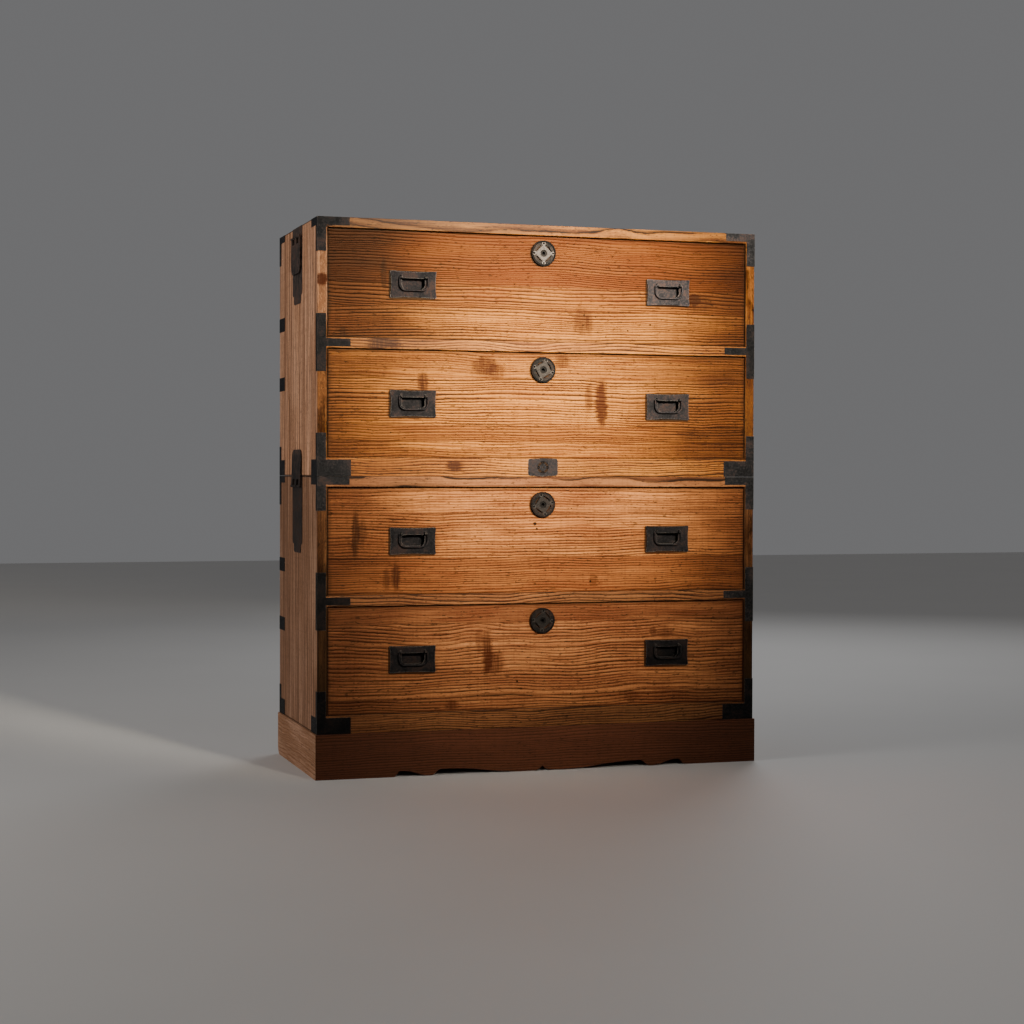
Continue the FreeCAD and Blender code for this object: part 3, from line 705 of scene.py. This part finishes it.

# The make-up of each front. Each front's painted shade toward its ends, away from its lit middle, is (middle
# of the lit part along X, strength). Marks and pits lie at X and Z on the chest, in millimetres.
FRONTS = {
    1: {
        "painted_falloff": (45.0, 0.97),
        "strips": (
            (912.0, 560.0, 4.6, 0.8, 0.0, 0.0),
            (958.0, 640.0, 5.6, 1.0, 0.24, 0.2),
            (1100.0, 700.0, 4.6, 0.7, 0.66, 0.4),
        ),
        "marks": (
            (-324, 975, 7, 34, 0.6), (-404, 858, 10, 14, 0.6), (80, 893, 17, 32, 0.55), (97, 888, 8, 26, 0.5),
            (322, 942, 15, 13, 0.9), (330, 936, 40, 22, 0.5), (-330, 990, 60, 16, 0.3),
        ),
        "pits": (
            (-184, 990, 1.8), (227, 889, 1.9), (179, 876, 1.6), (400, 875, 1.7), (132, 863, 1.4),
            (-60, 962, 1.2), (86, 905, 1.9), (110, 902, 1.5), (84, 884, 1.5),
        ),
    },
    2: {
        "painted_falloff": (-30.0, 0.86),
        "strips": (
            (652.0, 420.0, 4.8, 0.5, 0.0, 0.0),
            (683.0, 470.0, 5.0, 1.0, 0.36, 0.15),
            (776.0, 330.0, 5.9, 1.0, 0.0, 0.0),
            (900.0, 560.0, 5.2, 0.45, 0.06, 0.0),
        ),
        "marks": (
            (-246, 766, 12, 22, 0.8), (-262, 700, 16, 8, 0.7), (-120, 799, 26, 22, 0.7),
            (-96, 790, 18, 18, 0.5), (123, 728, 14, 50, 1.0), (96, 740, 9, 30, 0.5),
            (40, 812, 18, 15, 0.6), (322, 668, 36, 14, 0.4),
        ),
        "pits": ((300, 690, 1.4), (-310, 668, 1.3), (-160, 735, 1.3)),
    },
    3: {
        "painted_falloff": (0.0, 0.82),
        "strips": (
            (424.0, 240.0, 4.5, 0.7, 0.4, 0.1),
            (511.0, 190.0, 5.4, 0.68, 0.05, 0.0),
            (600.0, 330.0, 5.2, 0.5, 0.05, 0.0),
        ),
        "marks": (
            (-380, 470, 8, 48, 0.85), (-366, 476, 10, 24, 0.5), (-299, 388, 10, 30, 0.8),
            (-318, 384, 8, 24, 0.5), (107, 377, 10, 14, 0.5),
        ),
        "pits": (
            (-16, 490, 3.4), (-12, 480, 2.0), (60, 520, 1.3),
            (-195, 487, 1.4), (-104, 450, 1.2), (101, 374, 2.2),
        ),
    },
    4: {
        "painted_falloff": (20.0, 0.72),
        "strips": (
            (150.0, -60.0, 5.6, 0.7, 0.24, 0.05),
            (296.0, 10.0, 6.4, 0.72, 0.05, 0.05),
            (400.0, 130.0, 5.0, 0.4, 0.42, 0.1),
        ),
        "wander": 40.0,
        "marks": (
            (-114, 236, 11, 46, 0.75), (-98, 215, 20, 24, 0.6), (-130, 262, 9, 26, 0.4),
            (-186, 136, 14, 10, 0.6), (190, 140, 20, 10, 0.4), (262, 268, 22, 12, 0.5),
            (236, 272, 8, 10, 0.6),
        ),
        "pits": ((230, 210, 1.3), (-52, 178, 2.0), (60, 150, 1.6)),
    },
}

# Smudges of the rails and of the left sides, and painted shade on the rail behind its pierced plate, laid out
# as the marks and pits of the fronts.
RAIL_MARKS = ((-331, 840, 30, 14, 0.9), (-300, 838, 12, 14, 0.6), (-181, 603, 18, 12, 0.95))
RAIL_PLATE_SHADE = ((0, 602, 24.0),)
SIDE_MARKS = {"lower": (), "upper": ((-445, 960, 15, 13, 1.0),)}
# The size of the painted shade on each front's wood behind its lock's windows.
LOCK_SHADE = 17.0

# Painted light and shade on the rails and tops, as (upper edge, level at the left, level at the right).
RAIL_LIGHT = (
    (200.0, 0.55, 0.4), (450.0, 0.75, 0.6), (595.0, 0.85, 0.7),
    (800.0, 1.0, 0.8), (1000.0, 0.9, 0.9), (1100.0, 0.58, 0.78),
)

# The sides' front edges darken downward in painted shade, as (upper edge, light level, share of the sides' own
# tone).
FRONT_EDGE_LIGHT = {
    "upper_left": ((690.0, 0.34, 0.0), (880.0, 0.55, 0.1), (1080.0, 0.95, 0.85)),
    "upper_right": ((690.0, 0.38, 0.0), (900.0, 0.55, 0.0), (1080.0, 0.85, 0.0)),
    "lower_left": ((220.0, 0.07, 0.0), (400.0, 0.12, 0.0), (600.0, 0.3, 0.0)),
    "lower_right": ((220.0, 0.08, 0.0), (400.0, 0.12, 0.0), (600.0, 0.3, 0.0)),
}


def single(ring, line=0.6, middle=-260.0, darkness=0.0, redness=0.0):
    """One plain board, its rings centred off to one side."""
    return ((0.0, middle, ring, line, darkness, redness),)


def side_tones(wood, pale, middle, line):
    """The tones of the dry wood of sides and backs, at these levels."""
    body = wood.side_middle
    return tone(wood.side_pale, pale), tone(body, middle), tone(body, line), wood.dark


class CHEST_OT_drawer_fronts(bpy.types.Operator):
    """Finish the four drawer fronts, each glued up from strips"""

    bl_idname = "chest.drawer_fronts"
    bl_label = "Drawer Fronts"

    def execute(self, context):
        wood = context.scene.chest_wood
        for number in DRAWERS:
            board = FRONTS[number]
            tint = BOARD_TINTS[number]
            tones = (tinted(wood.pale, tint), tinted(wood.middle, tint), wood.line, wood.dark)
            limits_x, (face_y, _), limits_z = span("drawer_%d_front" % number)
            lock_z = between(span("drawer_%d_lock_face" % number)[2])
            strips = tuple(row[:2] + (row[2] * wood.rings,) + row[3:] for row in board["strips"])
            material = timber(
                "drawer_%d_wood" % number, "X", face_y + 60.0, strips, number * 17.3, tones,
                wander=board.get("wander", 20.0), marks=board["marks"],
                # The last pit is painted shade behind the lock's windows.
                pits=board["pits"] + ((0, lock_z, LOCK_SHADE),), edges=(limits_x, limits_z, face_y),
                painted_falloff=board["painted_falloff"], shadows_and_stains=self.shadows_and_stains(number), stripes=0.55, relief=0.6, coat=0.0,
            )
            dress("drawer_%d_front" % number, material, wood.ease * 0.5)
        return {"FINISHED"}

    def shadows_and_stains(self, number):
        """Where painted shadow and iron stain lie round each plate and lock, as (x, z, half width, half
        height, corner).
        """
        places = []
        (low_x, high_x), _, (low_z, high_z) = span("drawer_%d_pull_plates" % number)
        for side in SIDES:
            middle = between(span("drawer_%d_bail_%s" % (number, side))[0])
            half = min(abs(low_x - middle), abs(high_x - middle))
            places.append((middle, (low_z + high_z) / 2, half, (high_z - low_z) / 2, PULL_CORNER))
        (low_x, high_x), _, heights = span("drawer_%d_lock_face" % number)
        half = (high_x - low_x) / 2 + LOCK_RIM
        places.append((0.0, between(heights), half, half, half))
        return places


class CHEST_OT_cases(bpy.types.Operator):
    """Finish the boards of both cases"""

    bl_idname = "chest.cases"
    bl_label = "Case Boards"

    def execute(self, context):
        wood = context.scene.chest_wood
        inner = (tone(wood.inner, 1.15), wood.inner, tone(wood.inner, 0.5), tone(wood.dark, 1.4))
        for index, case in enumerate(CASES):
            prefix = case + "_case_"
            level = 1.2 if case == "upper" else 0.62
            side = side_tones(wood, level, level, 0.4)
            _, (low_y, high_y), (low_z, _) = span(prefix + "top")
            tint = BOARD_TINTS[1 if case == "upper" else 4]
            front = (tinted(wood.pale, tint), tinted(wood.middle, tint), wood.line, wood.dark)
            seed = 3.7 + 11.9 * index
            plank = single(6.5 * wood.rings, 1.0, low_z - 900.0, 0.08, 0.08)
            rails = timber(
                prefix + "rail_wood", "X", low_y + 50.0, plank, seed, front, wander=46.0,
                marks=RAIL_MARKS, pits=RAIL_PLATE_SHADE, painted_falloff=(70.0, 0.45), light_rows=RAIL_LIGHT,
            )
            dress(prefix + "rails", rails, wood.ease * 0.4)
            plank = single(5.5, 0.8, low_z - 120.0)
            top = timber(
                prefix + "top_wood", "X", low_y - 300.0, plank, seed + 2.1, front, wander=30.0,
                painted_falloff=(110.0, 0.5), light_rows=RAIL_LIGHT,
            )
            dress(prefix + "top", top, wood.ease)
            for mirror, name in ((-1.0, "left"), (1.0, "right")):
                planks = (
                    (100.0, 420.0 + 40.0 * mirror, 14.0 * wood.rings, 0.45, 0.0, 0.0),
                    (300.0, 520.0 + 40.0 * mirror, 12.0 * wood.rings, 0.5, 0.3, 0.0),
                )
                cheek = timber(
                    prefix + "side_wood_" + name, "Z", mirror * 500.0, planks, seed + 5.3 * (mirror + 2.0),
                    side, wander=45.0, front_tones=front, front_edge_light=FRONT_EDGE_LIGHT[case + "_" + name],
                    gaps=span(prefix + "side_left")[2], stripes=1.0, marks=SIDE_MARKS[case],
                    relief=0.15, rough=0.6, coat=0.0,
                )
                dress(prefix + "side_" + name, cheek, wood.ease * 0.5)
            plank = single(8.0, 0.45, low_z - 140.0)
            plain = timber(prefix + "inner_wood", "X", 300.0, plank, seed + 7.7, inner, coat=0.0)
            dress(prefix + "floor", plain, 0.5)
            dress(prefix + "dust_board", plain, 0.5)
            low_x, high_x = span(prefix + "back")[0]
            rear = timber(
                prefix + "back_wood", "Z", high_y + 150.0, single(8.0, 0.6, 40.0), seed + 9.1,
                side_tones(wood, 0.85, 0.85, 0.35), wander=120.0,
                boards=(high_x - low_x) / BACK_BOARDS, rough=0.62, coat=0.0,
            )
            dress(prefix + "back", rear, 0.8)
        return {"FINISHED"}


class CHEST_OT_plinth(bpy.types.Operator):
    """Finish the plinth"""

    bl_idname = "chest.plinth"
    bl_label = "Plinth"

    def execute(self, context):
        wood = context.scene.chest_wood
        deep = (tone(wood.plinth, 1.35), wood.plinth, tone(wood.plinth, 0.45), tone(wood.plinth, 0.3))
        side = side_tones(wood, 0.65, 0.75, 0.5)
        inner = (tone(wood.inner, 1.1), wood.inner, tone(wood.inner, 0.5), tone(wood.dark, 1.4))
        front = timber(
            "plinth_front_wood", "X", -120.0, single(4.5, 0.7), 71.0, deep, coat=0.05, painted_falloff=(20.0, 0.4)
        )
        dress("plinth_front", front, wood.ease)
        cheeks = timber("plinth_side_wood", "Y", -480.0, single(6.0, 0.25), 77.0, side, rough=0.62, coat=0.0)
        dress("plinth_sides", cheeks, wood.ease)
        rear = timber("plinth_back_wood", "X", 260.0, single(6.5, 0.5), 83.0, side, rough=0.62, coat=0.0)
        dress("plinth_back", rear, wood.ease)
        blocks = timber("plinth_block_wood", "Z", 0.0, single(6.5, 0.4), 89.0, inner, coat=0.0)
        dress("plinth_blocks", blocks, 0.6)
        return {"FINISHED"}


class CHEST_OT_drawer_boxes(bpy.types.Operator):
    """Finish the drawers' sides, backs and bottoms"""

    bl_idname = "chest.drawer_boxes"
    bl_label = "Drawer Boxes"

    def execute(self, context):
        wood = context.scene.chest_wood
        tones = (tone(wood.inner, 1.2), wood.inner, tone(wood.inner, 0.5), tone(wood.dark, 1.5))
        for number in DRAWERS:
            low_z = span("drawer_%d_box" % number)[2][0]
            name = "drawer_%d_box_wood" % number
            plank = single(8.0, 0.45, number * 60.0 - 300.0)
            material = timber(
                name, "Y", low_z - 260.0, plank, number * 5.9, tones, wander=60.0, rough=0.6, coat=0.0
            )
            dress("drawer_%d_box" % number, material, 0.6)
        return {"FINISHED"}


# Painted light and shade on the irons, pulls and handles, as (upper edge, level at the left, level at the
# right).
IRON_LIGHT = (
    (200.0, 0.5, 0.8), (480.0, 0.6, 1.5), (700.0, 1.6, 1.8), (950.0, 1.15, 1.4), (1100.0, 1.8, 4.2)
)
PULL_LIGHT = ((250.0, 0.6, 0.45), (500.0, 0.8, 0.85), (800.0, 1.0, 1.4), (1100.0, 1.1, 2.6))
HANDLE_LIGHT = ((620.0, 0.8, 0.8), (1100.0, 1.5, 1.5))


def with_painted_light(rows):
    """Paint that scales the iron's tone by rows of levels: painted light and shade."""

    def paint(finish, x, z, base, edge):
        return lit(finish, x, z, base, rows), edge

    return paint


class CHEST_OT_corner_irons(bpy.types.Operator):
    """Finish the corner irons and the plate on the rail"""

    bl_idname = "chest.corner_irons"
    bl_label = "Corner Irons"

    def execute(self, context):
        iron = context.scene.chest_iron
        material = ironwork("corner_iron", iron.corners, 2.0, rust=0.2, paint=with_painted_light(IRON_LIGHT))
        for case in CASES:
            dress(case + "_case_irons", material, 0.35)
        plate_z = between(span("upper_case_rail_plate")[2])

        # Painted shade in the roundel's pierced ring, which also takes no rubbed edge.
        def shaded_roundel(finish, x, z, base, edge):
            down = z - plate_z
            ring = 1.0 - finish.step(abs((x * x + down * down) ** 0.5 - ROUNDEL_RADIUS), 1.8, 3.0)
            return finish.mix(ring * 0.85, base, tone(iron.pulls, 0.15)), edge * (1.0 - ring)

        plate = ironwork(
            "rail_plate_iron", tone(iron.pulls, 1.45), 9.0, wear=0.9, bright=(0.24, 0.21, 0.19), paint=shaded_roundel
        )
        dress("upper_case_rail_plate", plate, 0.3)
        return {"FINISHED"}


class CHEST_OT_handles(bpy.types.Operator):
    """Finish the carrying handles and the plates they hang on"""

    bl_idname = "chest.handles"
    bl_label = "Carrying Handles"

    def execute(self, context):
        iron = context.scene.chest_iron
        material = ironwork(
            "handle_iron", iron.handles, 5.0, wear=0.8, rust=0.6, metal=0.2, scale=0.4, spots=3.5,
            bright=(0.2, 0.17, 0.15), paint=with_painted_light(HANDLE_LIGHT),
        )
        nail = ironwork(
            "nail_iron", (0.17, 0.155, 0.145), 41.0, wear=0.0, rust=0.0, metal=0.8, rough=0.45, spots=1.6
        )
        for case in CASES:
            dress(case + "_handle_plates", material, 0.3)
            for side in SIDES:
                dress(case + "_handle_" + side, material, 0.4)
            _, depths, (low_z, _) = span(case + "_handle_plates")
            bm = bmesh.new()
            for outward in (-1, 1):
                for y in (-NAIL_SPREAD, NAIL_SPREAD):
                    foot = Vector((outward * FOOT_X, between(depths) + y, low_z + NAIL_LIFT))
                    dome(bm, foot, (outward, 0, 0), NAIL_RADIUS, NAIL_RISE)
            piece_from(case + "_handle_nails", case + "_case", nail, bm)
        return {"FINISHED"}


class CHEST_OT_pulls(bpy.types.Operator):
    """Finish the recessed pulls and forge their swinging bails"""

    bl_idname = "chest.pulls"
    bl_label = "Recessed Pulls"

    def execute(self, context):
        iron = context.scene.chest_iron

        def paint(finish, x, z, base, edge):
            facing = finish.node("ShaderNodeNewGeometry", {}, {}, "Normal")
            facing = finish.node("ShaderNodeSeparateXYZ", {}, {0: facing})
            # Painted shade on faces that look down or to the left, away from the light, over painted light
            # levels by place.
            painted_shade = finish.step(facing * -0.8 - facing.other("Z"), 0.25, 0.6)
            base = finish.mix(painted_shade * 0.9, lit(finish, x, z, base, PULL_LIGHT), tone(iron.pulls, 0.12))
            return base, edge * (1.0 - painted_shade)

        plate = ironwork("pull_iron", iron.pulls, 13.0, wear=0.9, rust=0.3, reach=1.6, paint=paint)
        rod = ironwork("bail_iron", tone(iron.pulls, 1.5), 19.0, wear=0.8, rust=0.35, paint=paint)
        for number in DRAWERS:
            dress("drawer_%d_pull_plates" % number, plate, 0.7)
            for side in SIDES:
                self.bail("drawer_%d_bail_%s" % (number, side), "bail_%d_%s" % (number, side), rod, iron)
        return {"FINISHED"}

    def bail(self, node, body, material, iron):
        """Forge a bail in place of its node, its rod a little uneven and thinner at the eyes."""
        (low_x, high_x), depths, (low_z, high_z) = span(node)
        rod = iron.rod * TO_MM
        depth = between(depths)
        left, right = low_x + rod / 2, high_x - rod / 2
        top, low = high_z - rod / 2, low_z + rod / 2
        points = [
            (left + EYE_REACH, depth, top),
            (left, depth, top),
            (left, depth, low),
            (right, depth, low),
            (right, depth, top),
            (right - EYE_REACH, depth, top),
        ]
        corner = iron.bail_corner
        path = self.even(rounded_path(points, (rod / 2, corner, corner, rod / 2)))
        draw = random.Random(node)
        dents = [draw.uniform(-0.06, 0.0) for _ in range(ROD_DENTS)]

        def radius_at(along):
            swell = 0.86 + 0.14 * math.sin(math.pi * along) ** 0.5
            return rod / 2 * swell + dents[min(int(along * ROD_DENTS), ROD_DENTS - 1)]

        bm = bmesh.new()
        forge(bm, path, radius_at)
        piece = piece_from(node + "_forged", body, material, bm)
        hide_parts(node)

    def even(self, path):
        """The same path with its long straights divided."""
        points = [path[0]]
        for start, end in zip(path, path[1:]):
            count = max(1, round((end - start).length / ROD_STEP))
            for index in range(1, count + 1):
                points.append(start.lerp(end, index / count))
        return points


# The angle at which each lock's face stands, in degrees, and the painted light level of its whole face,
# brighter on the upper locks.
LOCK_TURNS = {1: 0.0, 2: 16.0, 3: -12.0, 4: 4.0}
LOCK_LIGHT = {1: 5.2, 2: 1.7, 3: 0.85, 4: 0.55}

# Where a face's tones change: the diamond's edge, a ring round its stud, the face's rim and its dish.
DIAMOND = (16.5, 18.5)
STUD_RING = (3.2, 3.9)
FACE_RIM = (21.2, 22.4)
DISH = (6.4, 7.8)


class CHEST_OT_locks(bpy.types.Operator):
    """Finish the round locks and set their studs and key pins"""

    bl_idname = "chest.locks"
    bl_label = "Round Locks"

    def execute(self, context):
        iron = context.scene.chest_iron
        rim = ironwork("lock_rim_iron", tone(iron.locks, 0.12), 23.0, wear=0.15, metal=0.3, reach=0.6)
        stud = ironwork("lock_stud_iron", tone(iron.locks, 0.12), 31.0, wear=0.0, rust=0.0)
        for number in DRAWERS:
            prefix = "drawer_%d_" % number
            dress(prefix + "lock_case", rim, 0.5)
            dress(prefix + "bolt", rim, 0.4)
            widths, (low_y, _), heights = span(prefix + "lock_face")
            middle = Vector((between(widths), low_y, between(heights)))
            dress(prefix + "lock_face", self.face(number, middle.z, iron), 0.2)
            bm = bmesh.new()
            for quarter in range(4):
                turn = math.radians(90.0 * quarter + LOCK_TURNS[number])
                offset = Vector((math.sin(turn), 0.0, math.cos(turn))) * iron.stud_circle
                dome(bm, middle + offset, (0, -1, 0), iron.stud / 2, STUD_RISE)
            dome(bm, middle + Vector((0, KEYHOLE_DEPTH, 0)), (0, -1, 0), KEY_PIN_RADIUS, KEY_PIN_LENGTH)
            piece_from(prefix + "lock_studs", "lock_face_%d" % number, stud, bm)
        return {"FINISHED"}

    def face(self, number, middle_z, iron):
        """A face with a dark rim and dish in painted shadow, a lighter diamond, and bright rings round its
        studs, all at the lock's painted light level.
        """
        # The level from the table above is painted light, brighter on the upper locks and darker on the lower;
        # it sets the face's base, diamond and stud rings.
        turn, wear = math.radians(LOCK_TURNS[number]), LOCK_LIGHT[number]
        dark, lit_diamond, bright = (tone(iron.locks, level) for level in (0.2, wear, wear * 1.15 + 0.6))

        def paint(finish, x, z, base, edge):
            down = z - middle_z
            a = abs(x * math.cos(turn) - down * math.sin(turn))
            b = abs(x * math.sin(turn) + down * math.cos(turn))
            radius = (x * x + down * down) ** 0.5
            grain = finish.noise(x * 0.6, z * 0.6, number * 3.0, 3.0, 0.7)
            diamond = 1.0 - finish.step(a + b + (grain - 0.5) * 4.0, *DIAMOND)
            base = finish.mix(diamond * finish.step(grain, 0.3, 0.55), base, lit_diamond)
            far, near = a.math("MAXIMUM", b), a.math("MINIMUM", b)
            far = far - iron.stud_circle
            ring = 1.0 - finish.step((far * far + near * near) ** 0.5, *STUD_RING)
            base = finish.mix(ring, base, bright)
            shadow = (finish.step(radius, *FACE_RIM) + (1.0 - finish.step(radius, *DISH))).clamp()
            return finish.mix(shadow * 0.9, base, dark), edge * (1.0 - shadow)

        return ironwork(
            "lock_face_iron_%d" % number, tone(iron.locks, wear ** 0.5 * 0.32), 29.0 + number,
            wear=0.7, metal=0.45, rough=0.45, bright=bright, reach=0.5, paint=paint,
        )


class CHEST_PT_panel(bpy.types.Panel):
    """Lists the chest's parts and settings"""

    bl_label = "Clothing Chest"
    bl_idname = "CHEST_PT_panel"
    bl_space_type = "VIEW_3D"
    bl_region_type = "UI"
    bl_category = "Chest"

    def draw(self, context):
        for group, operators in PANEL_ROWS:
            box = self.layout.box()
            settings = getattr(context.scene, group)
            for name in settings.__annotations__:
                box.prop(settings, name)
            for operator in operators:
                box.operator(operator.bl_idname)


PANEL_ROWS = (
    ("chest_stage", (CHEST_OT_stage,)),
    ("chest_wood", (CHEST_OT_cases, CHEST_OT_plinth, CHEST_OT_drawer_fronts, CHEST_OT_drawer_boxes)),
    ("chest_iron", (CHEST_OT_corner_irons, CHEST_OT_handles, CHEST_OT_pulls, CHEST_OT_locks)),
)
GROUPS = {"chest_stage": ChestStage, "chest_wood": ChestWood, "chest_iron": ChestIron}
OPERATORS = tuple(operator for group, operators in PANEL_ROWS for operator in operators)
CLASSES = tuple(GROUPS.values()) + OPERATORS + (CHEST_PT_panel,)


def register():
    for cls in CLASSES:
        bpy.utils.register_class(cls)
    for name, group in GROUPS.items():
        setattr(bpy.types.Scene, name, PointerProperty(type=group))


def unregister():
    for name in GROUPS:
        delattr(bpy.types.Scene, name)
    for cls in reversed(CLASSES):
        bpy.utils.unregister_class(cls)


def main():
    register()
    bpy.ops.chest.stage()
    bpy.ops.chest.cases()
    bpy.ops.chest.plinth()
    bpy.ops.chest.drawer_fronts()
    bpy.ops.chest.drawer_boxes()
    bpy.ops.chest.corner_irons()
    bpy.ops.chest.handles()
    bpy.ops.chest.pulls()
    bpy.ops.chest.locks()


if __name__ == "__main__":
    main()
